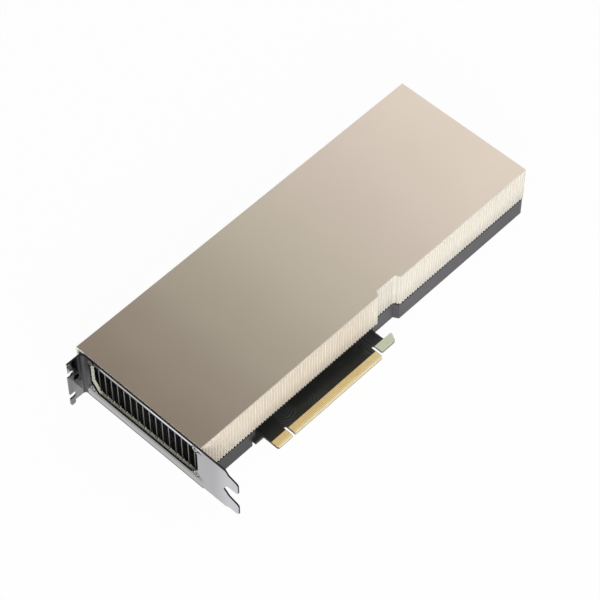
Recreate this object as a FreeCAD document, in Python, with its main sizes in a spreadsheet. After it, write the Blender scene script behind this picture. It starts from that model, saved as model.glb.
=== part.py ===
# Passive accelerator card: dual-slot, full-height, 267.7 mm long, cooled by the chassis' own air.
# Card axes: X from the bracket to the far end, Y from the edge contacts towards the bracket's ear,
# Z up through the components.  They meet at the bracket's outer face, the contacts' free edge and
# the board's component side.  Every piece is drawn in card axes and then set back by the frame
# offsets, which put the row's origin under the middle of the card's bounding box.
import FreeCAD, Part
import os

import Sketcher

sizes = {
    # whole card
    "card_length": 267.7,
    "card_top": 111.15,
    "side_face": 13.8,
    "frame_x": 128.135,
    "frame_y": 48.325,
    "frame_z": 4.9,
    # shroud
    "shroud_roof": 34.8,
    "shroud_foot": 8.95,
    "roof_thick": 1.6,
    "wall_thick": 1.6,
    "shroud_front": 1.0,
    "rib_pitch": 2.1336,
    "rib_count": 125,
    "groove_wide": 1.0,
    "groove_deep": 0.65,
    "roof_lip": 0.6,
    "latch_start": 140.9,
    "latch_slope": 1.9,
    "latch_end": 159.8,
    "latch_deep": 3.3,
    "slope_groove": 0.5,
    "ledge_thick": 1.0,
    "edge_break": 0.35,
    # base frame
    "base_bottom": -4.9,
    "base_setback": 0.1,
    "base_wall": 2.2,
    "base_front_top": 3.0,
    "foot_start": 39.65,
    "wall_end": 41.9,
    "connector_face": 19.2,
    "rim_tall": 0.8,
    "rim_inset": 0.9,
    "foot_thick": 0.8,
    "base_round": 0.8,
    "pillar_long": 6.8,
    "pillar_deep": 7.4,
    # board
    "board_thick": 1.57,
    "board_gap": 0.2,
    "tab_start": 45.9,
    "tab_long": 85.2,
    "tab_shoulder": 11.5,
    "tab_bevel": 0.45,
    "key_offset": 11.65,
    "key_wide": 1.9,
    "key_deep": 7.8,
    "hook_start": 133.2,
    "hook_neck": 140.5,
    "hook_knee": 144.2,
    "hook_tip": 147.1,
    "hook_foot": 2.7,
    "hook_top": 8.4,
    "hook_root": 9.6,
    "hook_knee_round": 1.7,
    "hook_tip_round": 0.7,
    "board_round": 0.9,
    # contacts
    "contact_pitch": 1.0,
    "contact_wide": 0.7,
    "contact_long": 5.2,
    "contact_edge": 0.45,
    "contact_thick": 0.06,
    "contact_margin": 0.82,
    # bracket
    "sheet": 1.0,
    "bracket_top": 34.4,
    "bracket_bottom": -1.6,
    "ear_face": 106.65,
    "ear_deep": 11.43,
    "bend_inner": 2.4,
    "body_edge": -5.0,
    "tongue_tip": -14.5,
    "slot_pitch": 20.32,
    "tongue_middle": 4.8,
    "notch_wide": 4.42,
    "notch_root": 4.6,
    "notch_middle": 3.9,
    "window_south": 16.2,
    "window_north": 100.4,
    "window_low": 5.3,
    "window_high": 31.5,
    "corner_wide": 5.4,
    "corner_tall": 6.8,
    "corner_upper": 4.0,
    "vent_screw_south": 17.9,
    "vent_screw_north": 99.7,
    "vent_screw_low": 7.0,
    "vent_screw_high": 31.0,
    "finger_low": -4.4,
    "ear_round": 1.2,
    "cup_inset": 5.83,
    "cup_height": 17.9,
    "cup_outer": 2.8,
    "cup_inner": 2.0,
    "cup_proud": 1.6,
    # vent grille
    "grille_back": 3.2,
    "bar_front": 2.4,
    "bar_wide": 0.7,
    "bar_pitch": 4.99,
    "bar_count": 16,
    "bar_first": 20.4,
    "grille_north": 104.0,
    # heat sink
    "sink_start": 14.0,
    "sink_end": 245.6,
    "sink_south": 21.7,
    "sink_wide": 85.7,
    "sink_under": 5.0,
    "sink_top": 8.0,
    "fin_crest": 32.8,
    "fin_thick": 0.4,
    "fin_pitch": 1.625,
    "fin_count": 53,
    # processor package
    "package_x": 133.0,
    "package_y": 62.5,
    "package_side": 55.0,
    "package_thick": 1.8,
    "die_thick": 0.8,
    "ring_side": 52.0,
    "ring_opening": 46.0,
    "die_long": 33.0,
    "die_wide": 26.0,
    "memory_long": 11.0,
    "memory_wide": 8.0,
    "pedestal_side": 44.0,
    # power circuit
    "choke_side": 7.0,
    "choke_tall": 4.0,
    "stage_side": 5.0,
    "stage_tall": 1.0,
    "capacitor_long": 7.3,
    "capacitor_wide": 4.3,
    "capacitor_tall": 2.8,
    "phase_pitch": 9.6,
    "phase_first": 29.0,
    # power socket
    "socket_start": 252.5,
    "socket_end": 267.0,
    "socket_south": 85.6,
    "socket_wide": 18.6,
    "socket_tall": 9.6,
    "cell_pitch": 4.2,
    "cell_side": 3.4,
    "cell_deep": 11.0,
    "pin_side": 1.2,
    "pin_long": 8.0,
    # backplate and fasteners
    "plate_clear": 0.2,
    "plate_rim": 2.5,
    "plate_recess": 0.8,
    "pad_side": 50.0,
    "shank": 1.25,
    "head": 2.4,
    "head_cone": 0.9,
    "sink_head_across": 4.5,
    "sink_head_thick": 0.7,
    "sink_screw_reach": 4.0,
    "sink_screw_inset": 33.0,
    "standoff_across": 5.5,
    "board_clear": 1.6,
    "far_hole_first": 26.0,
    "far_hole_spacing": 54.0,
    "far_hole_height": 4.6,
    "far_hole_deep": 7.0,
}

doc = FreeCAD.newDocument("accelerator_card")
sheet = doc.addObject("Spreadsheet::Sheet", "sizes")
for row, (alias, number) in enumerate(sizes.items(), start=1):
    sheet.set(f"A{row}", alias)
    sheet.set(f"B{row}", str(number))
    sheet.setAlias(f"B{row}", alias)
doc.recompute()


class Size:
    """A length with the formula that keeps it bound to the sheet."""

    def __init__(self, number, formula):
        self.number = number
        self.formula = formula

    def join(self, other, sign, number):
        return Size(number, f"({self.formula} {sign} {as_size(other).formula})")

    def __add__(self, other):
        return self.join(other, "+", self.number + as_size(other).number)

    def __radd__(self, other):
        return as_size(other) + self

    def __sub__(self, other):
        return self.join(other, "-", self.number - as_size(other).number)

    def __rsub__(self, other):
        return as_size(other) - self

    def __mul__(self, other):
        return self.join(other, "*", self.number * as_size(other).number)

    def __rmul__(self, other):
        return as_size(other) * self

    def __truediv__(self, other):
        return self.join(other, "/", self.number / as_size(other).number)

    def __neg__(self):
        return as_size(0) - self


def as_size(value):
    return value if isinstance(value, Size) else Size(float(value), repr(float(value)))


def size(alias):
    return Size(float(sheet.get(alias)), f"sizes.{alias}")


# ---- heights and lines that several pieces share
roof = size("shroud_roof")
foot = size("shroud_foot")
ceiling = roof - size("roof_thick")
under_board = -size("board_thick")
bottom = size("base_bottom")
front = size("shroud_front")
far_end = size("card_length")
north = size("card_top")
south = size("side_face")
base_south = south + size("base_setback")
base_north = north - size("base_setback")
base_far = far_end - size("base_setback")
latch_floor = south + size("latch_deep")
base_latch = base_south + size("latch_deep")
wall = size("base_wall")
gap = size("board_gap")
latch_start = size("latch_start")
latch_end = size("latch_end")
slope = size("latch_slope")
tab_start = size("tab_start")
tab_end = tab_start + size("tab_long")

pieces = {}


def new_piece(label):
    """A body in card axes, set back to the row's frame by its Placement."""
    body = doc.addObject("PartDesign::Body", label)
    body.Label = label
    body.AllowCompound = True
    for axis, offset in (("x", "frame_x"), ("y", "frame_y")):
        body.setExpression(f"Placement.Base.{axis}", f"-sizes.{offset}")
    body.setExpression("Placement.Base.z", "sizes.frame_z")
    pieces[label] = body
    return body


def origin_feature(body, role):
    return next(item for item in body.Origin.OriginFeatures if item.Role == role)


def sketch_on(body, plane, height, name):
    """A sketch on an origin plane of the body, lifted along the plane's normal by height."""
    sketch = body.newObject("Sketcher::SketchObject", name)
    sketch.AttachmentSupport = [(origin_feature(body, f"{plane}_Plane"), "")]
    sketch.MapMode = "FlatFace"
    lift = -as_size(height) if plane == "XZ" else as_size(height)
    sketch.AttachmentOffset = FreeCAD.Placement(
        FreeCAD.Vector(0, 0, lift.number), FreeCAD.Rotation())
    sketch.setExpression("AttachmentOffset.Base.z", lift.formula)
    return sketch


def bind(sketch, kind, geometry, end, value):
    """Holds one coordinate, or a radius, at a bound value."""
    value = as_size(value)
    arguments = [kind, geometry] + ([end] if end else []) + [value.number]
    index = sketch.addConstraint(Sketcher.Constraint(*arguments))
    sketch.setExpression(f"Constraints[{index}]", value.formula)


def outline(sketch, points):
    """A closed outline of straight edges through bound points."""
    points = [(as_size(u), as_size(v)) for u, v in points]
    corners = [FreeCAD.Vector(u.number, v.number, 0) for u, v in points]
    first = sketch.GeometryCount
    for here, there in zip(corners, corners[1:] + corners[:1]):
        sketch.addGeometry(Part.LineSegment(here, there), False)
    for index, (u, v) in enumerate(points):
        edge = first + index
        following = first + (index + 1) % len(points)
        sketch.addConstraint(Sketcher.Constraint("Coincident", edge, 2, following, 1))
        bind(sketch, "DistanceX", edge, 1, u)
        bind(sketch, "DistanceY", edge, 1, v)


def rectangle(sketch, left, low, right, high):
    outline(sketch, [(left, low), (right, low), (right, high), (left, high)])


def circle(sketch, middle_u, middle_v, radius):
    middle = FreeCAD.Vector(as_size(middle_u).number, as_size(middle_v).number, 0)
    index = sketch.addGeometry(
        Part.Circle(middle, FreeCAD.Vector(0, 0, 1), as_size(radius).number), False)
    bind(sketch, "Radius", index, None, radius)
    bind(sketch, "DistanceX", index, 3, middle_u)
    bind(sketch, "DistanceY", index, 3, middle_v)


def feature(body, kind, name, sketch, length, reverse):
    made = body.newObject(f"PartDesign::{kind}", name)
    made.Profile = sketch
    made.Type = "Length"
    made.Reversed = reverse
    made.setExpression("Length", as_size(length).formula)
    sketch.Visibility = False
    return made


def pad(body, name, plane, start, length, draw):
    """Adds what draw puts on the sketch, from start towards the plane's positive side."""
    sketch = sketch_on(body, plane, start, f"{name}_sketch")
    draw(sketch)
    return feature(body, "Pad", name, sketch, length, plane == "XZ")


def pocket(body, name, plane, start, length, draw):
    """Takes away what draw puts on the sketch, from start towards the plane's positive side."""
    doc.recompute()
    before = body.Shape.Volume
    sketch = sketch_on(body, plane, start, f"{name}_sketch")
    draw(sketch)
    made = feature(body, "Pocket", name, sketch, length, plane != "XZ")
    doc.recompute()
    if not made.Shape.Volume < before - 1e-6:
        raise RuntimeError(f"pocket {name} removes nothing")
    return made


def along(body, name, original, axis, pitch, count):
    """Repeats a feature along an axis of the body."""
    count = as_size(count)
    pattern = body.newObject("PartDesign::LinearPattern", name)
    pattern.Originals = [original]
    pattern.Direction = (origin_feature(body, f"{axis}_Axis"), [""])
    pattern.setExpression("Length", (as_size(pitch) * (count - 1)).formula)
    pattern.setExpression("Occurrences", count.formula)
    body.Tip = pattern
    doc.recompute()
    return pattern


def edges_at(shape, points, direction):
    """Names of the straight edges along a direction that pass nearest to the given points."""
    names = []
    for point in points:
        target = Part.Vertex(FreeCAD.Vector(*[as_size(value).number for value in point]))
        candidates = [
            (edge.distToShape(target)[0], f"Edge{index}")
            for index, edge in enumerate(shape.Edges, start=1)
            if edge.Curve.TypeId == "Part::GeomLine"
            and abs(abs(edge.tangentAt(edge.FirstParameter).dot(direction)) - 1) < 1e-6
        ]
        names.append(min(candidates)[1])
    return names


def dress(body, kind, name, points, direction, amount):
    """Fillets or chamfers the edges along a direction that pass through the given points."""
    doc.recompute()
    base = body.Tip
    made = body.newObject(f"PartDesign::{kind}", name)
    made.Base = (base, edges_at(base.Shape, points, direction))
    value = as_size(amount)
    prop = "Radius" if kind == "Fillet" else "Size"
    made.setExpression(prop, value.formula)
    body.Tip = made
    doc.recompute()
    return made


along_x = FreeCAD.Vector(1, 0, 0)
along_y = FreeCAD.Vector(0, 1, 0)
along_z = FreeCAD.Vector(0, 0, 1)

# ---- shroud: a channel, open at both ends, with finely ribbed sides
half_turn = 0.577  # how far an offset moves a corner of the latch recess, per unit of offset


def recess_outline(face, start, end, back, inset, recess=latch_start):
    """The card's plan: the connector side with its recess for the latch, then round by the ear."""
    floor = face + size("latch_deep")
    shift = inset * half_turn
    return [
        (start, face + inset),
        (recess - shift, face + inset),
        (recess + slope - shift, floor + inset),
        (latch_end - slope + shift, floor + inset),
        (latch_end + shift, face + inset),
        (end, face + inset),
        (end, back - inset),
        (start, back - inset),
    ]


def make_shroud():
    body = new_piece("shroud")
    pad(body, "channel", "XY", foot, roof - foot, lambda sketch: outline(
        sketch, recess_outline(south, front, far_end, north, as_size(0))))
    pocket(body, "duct", "XY", foot - 1, ceiling - foot + 1, lambda sketch: outline(
        sketch, recess_outline(south, front - 5, far_end + 5, north, size("wall_thick"))))
    dress(body, "Chamfer", "roof_edges", [
        (front + 60, south, roof), (far_end - 60, south, roof), (front + 60, north, roof),
    ], along_x, size("edge_break"))

    pitch = size("rib_pitch")
    wide = size("groove_wide")
    deep = size("groove_deep")
    high = roof - size("roof_lip") - foot + 1
    first = front + (pitch - wide) / 2
    whole = round((far_end.number - front.number) / pitch.number)
    near = int((latch_start.number - front.number) / pitch.number)
    far = int((far_end.number - latch_end.number) / pitch.number)
    # each run of grooves: its name, how many ribs come before it, its outer side, its count
    runs = [
        ("near", 0, south, near),
        ("recess", near + 1, latch_floor, whole - near - far - 3),
        ("far", whole - far, south, far),
        ("ear_side", 0, north - deep, whole),
    ]
    for name, skipped, face, count in runs:
        left = first + pitch * skipped
        groove = pocket(body, f"{name}_groove", "XY", foot - 1, high, lambda sketch: rectangle(
            sketch, left, face, left + wide, face + deep))
        along(body, f"{name}_ribs", groove, "X", pitch, count)

    def draw_slope_grooves(sketch):
        depth = size("slope_groove")
        for side, corner in ((1, latch_start), (-1, latch_end)):
            for share in (0.06, 0.52):
                start = (corner + side * slope * share, south + size("latch_deep") * share)
                end = (start[0] + side * slope * 0.22, start[1] + size("latch_deep") * 0.22)
                outline(sketch, [
                    (start[0] + side * depth, start[1] - depth * half_turn),
                    (end[0] + side * depth, end[1] - depth * half_turn),
                    (end[0] - side * depth, end[1] + depth * half_turn),
                    (start[0] - side * depth, start[1] + depth * half_turn),
                ])

    pocket(body, "slope_grooves", "XY", foot - 1, high, draw_slope_grooves)

    # a ledge inside closes the duct over the connector, where the frame's wall stands back
    deep_face = size("connector_face") + wall
    pad(body, "ledge", "XY", foot, size("ledge_thick"), lambda sketch: outline(sketch, [
        (size("wall_end") - 1.3, south + 1.2),
        (latch_start + 0.3, south + 1.2),
        (latch_start + 1.7, latch_floor + 0.5),
        (latch_start + 1.7, deep_face),
        (size("wall_end") - 1.3, deep_face),
    ]))


# ---- base frame: the casting that the shroud stands on and that holds the board's edges
far_holes = [size("far_hole_first"), size("far_hole_first") + size("far_hole_spacing")]
socket_south = size("socket_south")
socket_north = socket_south + size("socket_wide")


def frame_outline(start, inset):
    """The casting's plan: its connector side stands back over the connector and in the recess."""
    face = base_south + inset
    deep = size("connector_face") + inset
    floor = base_latch + inset
    shift = inset * half_turn
    near = size("wall_end") - shift
    return [
        (start, face),
        (near, face),
        (near + size("latch_slope") * 1.5, deep),
        (latch_start - 1 - shift, deep),
        (latch_start - shift, floor),
        (latch_end - slope + shift, floor),
        (latch_end + shift, face),
        (base_far - inset, face),
        (base_far - inset, base_north - inset),
        (start, base_north - inset),
    ]


def make_base_frame():
    body = new_piece("base_frame")
    inner = base_south + wall
    bay_floor = base_south + size("latch_deep") + wall
    shift = wall * half_turn
    rim = size("rim_inset")
    rim_start = foot - size("rim_tall")
    pad(body, "casting", "XY", bottom, rim_start - bottom, lambda sketch: outline(
        sketch, frame_outline(front, as_size(0))))
    pad(body, "rim", "XY", rim_start, size("rim_tall"), lambda sketch: outline(
        sketch, frame_outline(front, rim)))
    pocket(body, "well", "XY", 0, foot + 1, lambda sketch: outline(
        sketch, frame_outline(front + wall, wall)))
    pocket(body, "board_bay", "XY", bottom - 1, 1 - bottom, lambda sketch: outline(sketch, [
        (front + wall, inner),
        (size("foot_start") - gap, inner),
        (size("foot_start") - gap, base_south - 5),
        (size("hook_neck") + gap, base_south - 5),
        (size("hook_neck") + gap, bay_floor),
        (latch_end - slope + shift, bay_floor),
        (latch_end + shift, inner),
        (base_far - wall, inner),
        (base_far - wall, base_north - wall),
        (front + wall, base_north - wall),
    ]))
    low = size("base_front_top")
    pocket(body, "air_outlet", "XY", low, foot - low + 1, lambda sketch: rectangle(
        sketch, front - 1, inner, front + wall + 1, base_north - wall))
    pocket(body, "socket_gate", "XY", 0, foot + 1, lambda sketch: rectangle(
        sketch, base_far - wall - 1, socket_south - gap, base_far + 1, socket_north + gap))
    pad(body, "shoulder_foot", "XY", 0, size("foot_thick"), lambda sketch: rectangle(
        sketch, size("foot_start"), size("tab_shoulder"), tab_start, latch_floor + 1))

    long = size("pillar_long")
    deep = size("pillar_deep")
    back = base_north - wall

    def draw_pillars(sketch):
        for x in (size("sink_start"), size("sink_end") - long):
            rectangle(sketch, x, inner - 1, x + long, inner + deep)
            rectangle(sketch, x, back - deep, x + long, back + 1)

    pad(body, "pillars", "XY", 0, size("sink_under"), draw_pillars)

    def draw_far_blocks(sketch):
        for y in far_holes:
            rectangle(sketch, base_far - size("far_hole_deep") - 2, y - 4, base_far - wall / 2, y + 4)

    def draw_far_holes(sketch):
        for y in far_holes:
            circle(sketch, y, size("far_hole_height"), size("shank"))

    pad(body, "far_blocks", "XY", 0, foot - 1, draw_far_blocks)
    pocket(body, "far_holes", "YZ", base_far - size("far_hole_deep"),
           size("far_hole_deep") + 1, draw_far_holes)
    dress(body, "Fillet", "far_corners", [
        (base_far, base_south, foot / 2), (base_far, base_north, foot / 2),
    ], along_z, size("base_round"))


# ---- board and what is soldered to it
package_x = size("package_x")
package_y = size("package_y")
sink_screws = [
    (package_x + side_x * size("sink_screw_inset"), package_y + side_y * size("sink_screw_inset"))
    for side_x in (-1, 1) for side_y in (-1, 1)
]


def make_board():
    body = new_piece("board")
    key = tab_start + size("key_offset")
    inner = base_south + wall + gap
    bay_floor = base_south + size("latch_deep") + wall + gap
    shift = (wall + gap) * half_turn
    near = front + wall + gap
    end = base_far - wall - gap
    back = base_north - wall - gap
    neck = size("hook_neck")
    root = size("hook_root")
    pad(body, "laminate", "XY", under_board, -under_board, lambda sketch: outline(sketch, [
        (near, inner),
        (size("foot_start"), inner),
        (size("foot_start"), size("tab_shoulder")),
        (tab_start, size("tab_shoulder")),
        (tab_start, 0),
        (key, 0),
        (key, size("key_deep")),
        (key + size("key_wide"), size("key_deep")),
        (key + size("key_wide"), 0),
        (tab_end, 0),
        (tab_end, root),
        (size("hook_start"), root),
        (size("hook_start"), size("hook_foot")),
        (size("hook_knee"), size("hook_foot")),
        (size("hook_tip"), size("hook_top")),
        (neck, size("hook_top")),
        (neck, bay_floor),
        (latch_end - slope + shift, bay_floor),
        (latch_end + shift, inner),
        (end, inner),
        (end, back),
        (near, back),
    ]))
    middle = under_board / 2
    dress(body, "Fillet", "hook_knee", [
        (size("hook_knee"), size("hook_foot"), middle),
    ], along_z, size("hook_knee_round"))
    dress(body, "Fillet", "hook_tip", [
        (size("hook_tip"), size("hook_top"), middle),
    ], along_z, size("hook_tip_round"))
    dress(body, "Fillet", "small_rounds", [
        (key, size("key_deep"), middle), (key + size("key_wide"), size("key_deep"), middle),
        (tab_end, root, middle), (size("hook_start"), root, middle),
        (size("hook_start"), size("hook_foot"), middle), (neck, size("hook_top"), middle),
    ], along_z, size("board_round"))
    dress(body, "Chamfer", "tab_corners", [
        (tab_start, 0, middle), (tab_end, 0, middle),
    ], along_z, size("tab_bevel") * 2)
    dress(body, "Chamfer", "insertion_bevel", [
        (key - 5, 0, 0), (tab_end - 9, 0, 0), (key - 5, 0, under_board),
        (tab_end - 9, 0, under_board),
    ], along_x, size("tab_bevel"))

    def draw_holes(sketch):
        for x, y in sink_screws:
            circle(sketch, x, y, size("board_clear"))

    pocket(body, "screw_holes", "XY", under_board - 1, 2 - under_board, draw_holes)


def make_contacts(label, start):
    """The gold fingers of one side: a short row before the key and a long one after it."""
    body = new_piece(label)
    pitch = size("contact_pitch")
    half = size("contact_wide") / 2
    edge = size("contact_edge")
    key_far = tab_start + size("key_offset") + size("key_wide")
    rows = [
        ("short_row", tab_start + size("contact_margin"), 11),
        ("long_row", key_far + size("contact_margin"), 71),
    ]
    for name, middle, count in rows:
        finger = pad(body, name, "XY", start, size("contact_thick"), lambda sketch: rectangle(
            sketch, middle - half, edge, middle + half, edge + size("contact_long")))
        doc.recompute()
        along(body, f"{name}_pattern", finger, "X", pitch, count)


def make_blocks(label, start, tall, boxes):
    """Plain blocks standing on one level: each is a middle x, a middle y, a length and a width."""
    body = new_piece(label)

    def draw_blocks(sketch):
        for x, y, long, wide in boxes:
            rectangle(sketch, x - long / 2, y - wide / 2, x + long / 2, y + wide / 2)

    pad(body, "blocks", "XY", start, tall, draw_blocks)
    return body


def make_package():
    side = size("package_side")
    thick = size("package_thick")
    make_blocks("package_substrate", 0, thick, [(package_x, package_y, side, side)])
    ring = new_piece("package_ring")
    half = size("ring_side") / 2
    open_half = size("ring_opening") / 2
    pad(ring, "ring", "XY", thick, size("die_thick"), lambda sketch: rectangle(
        sketch, package_x - half, package_y - half, package_x + half, package_y + half))
    pocket(ring, "opening", "XY", thick - 1, size("die_thick") + 2, lambda sketch: rectangle(
        sketch, package_x - open_half, package_y - open_half,
        package_x + open_half, package_y + open_half))
    make_blocks("processor_die", thick, size("die_thick"), [
        (package_x, package_y, size("die_wide"), size("die_long")),
    ])
    reach = (size("die_wide") + size("memory_wide")) / 2 + 0.8
    make_blocks("memory_stacks", thick, size("die_thick"), [
        (package_x + side_x * reach, package_y + step * (size("memory_long") + 0.6),
         size("memory_wide"), size("memory_long"))
        for side_x in (-1, 1) for step in (-1, 0, 1)
    ])


def make_power_circuit():
    """Two columns of phases, one each side of the package, with their capacitors outside."""
    phases = [size("phase_first") + size("phase_pitch") * index for index in range(8)]
    choke = size("choke_side")
    stage = size("stage_side")
    columns = [(-1, package_x - 42), (1, package_x + 42)]
    chokes = [(x, y, choke, choke) for side, x in columns for y in phases]
    make_blocks("chokes", 0, size("choke_tall"), chokes)
    make_blocks("choke_pads", size("choke_tall"), size("sink_under") - size("choke_tall"), [
        (x, phases[0] + size("phase_pitch") * 3.5, choke, size("phase_pitch") * 7 + choke)
        for side, x in columns
    ])
    make_blocks("power_stages", 0, size("stage_tall"), [
        (x + side * 8, y, stage, stage) for side, x in columns for y in phases
    ])
    make_blocks("capacitors", 0, size("capacitor_tall"), [
        (x + side * 17, y, size("capacitor_long"), size("capacitor_wide"))
        for side, x in columns for y in phases[1:7]
    ])
    make_blocks("controller_chips", 0, size("stage_tall"), [
        (as_size(58), as_size(40), as_size(9), as_size(9)),
        (as_size(58), as_size(80), as_size(7), as_size(7)),
        (as_size(214), as_size(40), as_size(6), as_size(8)),
        (as_size(214), as_size(84), as_size(7), as_size(7)),
    ])


# ---- heat sink
def make_heat_sink():
    start = size("sink_start")
    end = size("sink_end")
    edge = size("sink_south")
    top = size("sink_top")
    spreader = new_piece("heat_spreader")
    pad(spreader, "plate", "XY", size("sink_under"), top - size("sink_under"),
        lambda sketch: rectangle(sketch, start, edge, end, edge + size("sink_wide")))
    touch = size("package_thick") + size("die_thick")
    half = size("pedestal_side") / 2
    pad(spreader, "pedestal", "XY", touch, size("sink_under") - touch, lambda sketch: rectangle(
        sketch, package_x - half, package_y - half, package_x + half, package_y + half))

    fins = new_piece("fin_stack")
    thick = size("fin_thick")
    pad(fins, "foil", "XY", top, thick, lambda sketch: rectangle(
        sketch, start, edge, end, edge + size("sink_wide")))
    first = edge + 0.4
    fin = pad(fins, "fin", "YZ", start, end - start, lambda sketch: rectangle(
        sketch, first, top, first + thick, size("fin_crest")))
    doc.recompute()
    along(fins, "fins", fin, "Y", size("fin_pitch"), size("fin_count"))


# ---- vent grille and bracket
def window_outline(low):
    """The vent window, its four corners cut back round the screws."""
    left = size("window_south")
    right = size("window_north")
    high = size("window_high")
    wide = size("corner_wide")
    tall = size("corner_tall")
    upper = size("corner_upper")
    return [
        (left + wide, low), (right - wide, low), (right, low + tall), (right, high - upper),
        (right - upper, high), (left + upper, high), (left, high - upper), (left, low + tall),
    ]


vent_screws = [
    (size(f"vent_screw_{side}"), size(f"vent_screw_{level}"))
    for side in ("south", "north") for level in ("low", "high")
]


def make_vent_grille():
    body = new_piece("vent_grille")
    depth = size("grille_back") - front
    low = size("window_low") - 1
    inner = base_south + wall
    pad(body, "frame", "YZ", front, depth, lambda sketch: outline(sketch, [
        (inner, size("base_front_top")), (size("grille_north"), size("base_front_top")),
        (size("grille_north"), ceiling), (south + size("wall_thick"), ceiling),
        (south + size("wall_thick"), foot), (inner, foot),
    ]))
    pocket(body, "tunnel", "YZ", front - 1, depth + 2, lambda sketch: outline(
        sketch, window_outline(low)))

    def draw_screw_holes(sketch):
        for y, z in vent_screws:
            circle(sketch, y, z, size("shank") + 0.1)

    pocket(body, "screw_holes", "YZ", front - 1, depth + 2, draw_screw_holes)
    bar = pad(body, "bar", "YZ", size("bar_front"), size("grille_back") - size("bar_front"),
              lambda sketch: rectangle(
                  sketch, size("bar_first"), low - 1, size("bar_first") + size("bar_wide"),
                  size("window_high") + 1))
    doc.recompute()
    along(body, "bars", bar, "Y", size("bar_pitch"), size("bar_count"))


def tongue_outline(middle):
    """One tongue, from its shoulder nearest the roof round its tip to the far shoulder."""
    tip = size("tongue_tip")
    return [
        (tip + 7.2, middle + 6.4),
        (tip + 1.3, middle + 4.6),
        (tip, middle + 3.3),
        (tip, middle - 3.3),
        (tip + 1.3, middle - 4.6),
        (tip + 7.2, middle - 4.8),
        (tip + 9.2, middle - 5.7),
    ]


def add_cones(body, kind, name):
    """A cone at every bracket screw, wide at the bracket's outer face."""
    for index, (y, z) in enumerate(vent_screws, start=1):
        cone = body.newObject(f"PartDesign::{kind}Cone", f"{name}_{index}")
        cone.Placement = FreeCAD.Placement(
            FreeCAD.Vector(0, y.number, z.number), FreeCAD.Rotation(along_y, 90))
        cone.setExpression("Placement.Base.y", y.formula)
        cone.setExpression("Placement.Base.z", z.formula)
        cone.setExpression("Radius1", "sizes.head")
        cone.setExpression("Radius2", "sizes.head - sizes.head_cone")
        cone.setExpression("Height", "sizes.head_cone")
        doc.recompute()


def make_bracket():
    body = new_piece("bracket")
    thick = size("sheet")
    top = size("bracket_top")
    low = size("bracket_bottom")
    ear_face = size("ear_face")
    edge = size("body_edge")
    middle = size("tongue_middle")
    upper_tongue = tongue_outline(middle + size("slot_pitch"))
    lower_tongue = tongue_outline(middle)
    between = (edge + 1.6, middle + size("slot_pitch") / 2)
    pad(body, "face", "YZ", 0, thick, lambda sketch: outline(sketch, [
        (ear_face, top), (edge, top), *upper_tongue, between, *lower_tongue, (edge + 0.4, low),
        (ear_face, low),
    ]))

    ear_tip = -size("ear_deep")
    half = size("notch_wide") / 2
    root = ear_tip + size("notch_root")
    finger = size("finger_low")
    notches = [size("notch_middle"), size("notch_middle") + size("slot_pitch")]

    def draw_ear(sketch):
        points = [(thick, low), (ear_tip + 3.5, low), (ear_tip + 3.5, finger), (ear_tip, finger)]
        for notch in notches:
            points += [(ear_tip, notch - half), (root, notch - half),
                       (root, notch + half), (ear_tip, notch + half)]
        points += [(ear_tip, top), (thick, top)]
        outline(sketch, points)

    pad(body, "ear", "XZ", ear_face - thick, thick, draw_ear)
    bend = size("bend_inner")
    dress(body, "Fillet", "bend_inside", [(0, ear_face - thick, top / 2)], along_z, bend)
    dress(body, "Fillet", "bend_outside", [(thick, ear_face, top / 2)], along_z, bend + thick)
    dress(body, "Fillet", "notch_roots", [
        (root, ear_face - thick / 2, notch + side * half) for notch in notches for side in (-1, 1)
    ], along_y, half - 0.05)
    dress(body, "Fillet", "ear_corners", [
        (ear_tip, ear_face - thick / 2, finger), (ear_tip + 3.5, ear_face - thick / 2, finger),
        (ear_tip, ear_face - thick / 2, top),
    ], along_y, size("ear_round"))

    cup_x = ear_tip + size("cup_inset")
    cup_z = size("cup_height")
    pad(body, "cup", "XZ", ear_face - thick / 2, thick / 2 + size("cup_proud"),
        lambda sketch: circle(sketch, cup_x, cup_z, size("cup_outer")))
    pocket(body, "cup_hollow", "XZ", ear_face - thick - 1, thick + 0.4 + size("cup_proud"),
           lambda sketch: circle(sketch, cup_x, cup_z, size("cup_inner")))
    pocket(body, "window", "YZ", -1, thick + 2, lambda sketch: outline(
        sketch, window_outline(size("window_low"))))

    neck = size("head") - size("head_cone")

    def draw_screw_holes(sketch):
        for y, z in vent_screws:
            circle(sketch, y, z, neck)

    pocket(body, "screw_holes", "YZ", -1, thick + 2, draw_screw_holes)
    add_cones(body, "Subtractive", "countersink")


def make_socket():
    body = new_piece("power_socket")
    start = size("socket_start")
    end = size("socket_end")
    tall = size("socket_tall")
    pitch = size("cell_pitch")
    half = size("cell_side") / 2
    first_y = socket_south + (size("socket_wide") - pitch * 3) / 2
    first_z = tall / 2 - pitch / 2
    cells = [(first_y + pitch * column, first_z + pitch * line)
             for column in range(4) for line in range(2)]
    pad(body, "housing", "XY", 0, tall, lambda sketch: rectangle(
        sketch, start, socket_south, end, socket_north))

    def draw_cells(sketch):
        for y, z in cells:
            rectangle(sketch, y - half, z - half, y + half, z + half)

    pocket(body, "cells", "YZ", end - size("cell_deep"), size("cell_deep") + 1, draw_cells)
    pins = new_piece("power_pins")
    side = size("pin_side") / 2

    def draw_pins(sketch):
        for y, z in cells:
            rectangle(sketch, y - side, z - side, y + side, z + side)

    pad(pins, "pins", "YZ", end - size("cell_deep"), size("pin_long"), draw_pins)


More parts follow.
